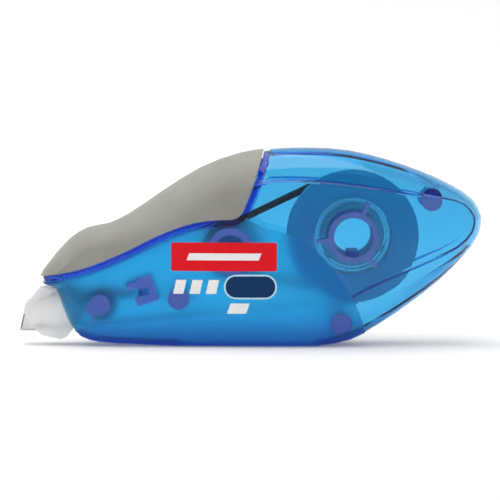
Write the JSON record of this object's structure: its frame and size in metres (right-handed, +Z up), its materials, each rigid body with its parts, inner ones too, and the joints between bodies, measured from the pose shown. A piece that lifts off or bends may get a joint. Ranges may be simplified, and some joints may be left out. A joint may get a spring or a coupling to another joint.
{
  "type": "correction tape roller",
  "caption": "Hand-held correction tape roller: translucent casing with a soft grip, belt-driven supply and take-up reels, and an applicator tip.",
  "frame": {"origin": "middle of the bounding box's underside, on the surface that the casing's flat underside stands on", "axes": "+X from the applicator tip to the tail, +Z up, -Y the labelled side"},
  "size_m": [0.0995, 0.018, 0.0426],
  "materials": {
    "casing": "translucent tinted polystyrene, gloss",
    "grip": "soft-touch elastomer, satin",
    "white_plastic": "moulded, semi-gloss",
    "reel_plastic": "natural moulded",
    "tape": "dry correction coating",
    "film": "thin carrier film",
    "belt": "round rubber belt, matte"
  },
  "bodies": {
    "casing": {"front_shell": "casing", "rear_shell": "casing", "grip_front": "grip", "grip_rear": "grip", "applicator_head": "white_plastic", "drive_belt": "belt", "fresh_tape": "tape", "used_film": "film"},
    "supply": {"supply_reel": "reel_plastic", "tape_core": "white_plastic", "tape_roll": "tape"},
    "take_up": {"take_up_reel": "reel_plastic", "used_film_roll": "film"}
  },
  "joints": [
    {"name": "supply_spin", "type": "hinge", "parent": "casing", "child": "supply", "pos_m": [0.022, 0, 0.0237], "axis": [0, 1, 0], "continuous": true},
    {"name": "take_up_spin", "type": "hinge", "parent": "casing", "child": "take_up", "pos_m": [-0.00425, 0, 0.0208], "axis": [0, 1, 0], "continuous": true}
  ],
  "couplings": [
    {"joint": "take_up_spin", "follows": "supply_spin", "ratio": 2.9333}
  ]
}
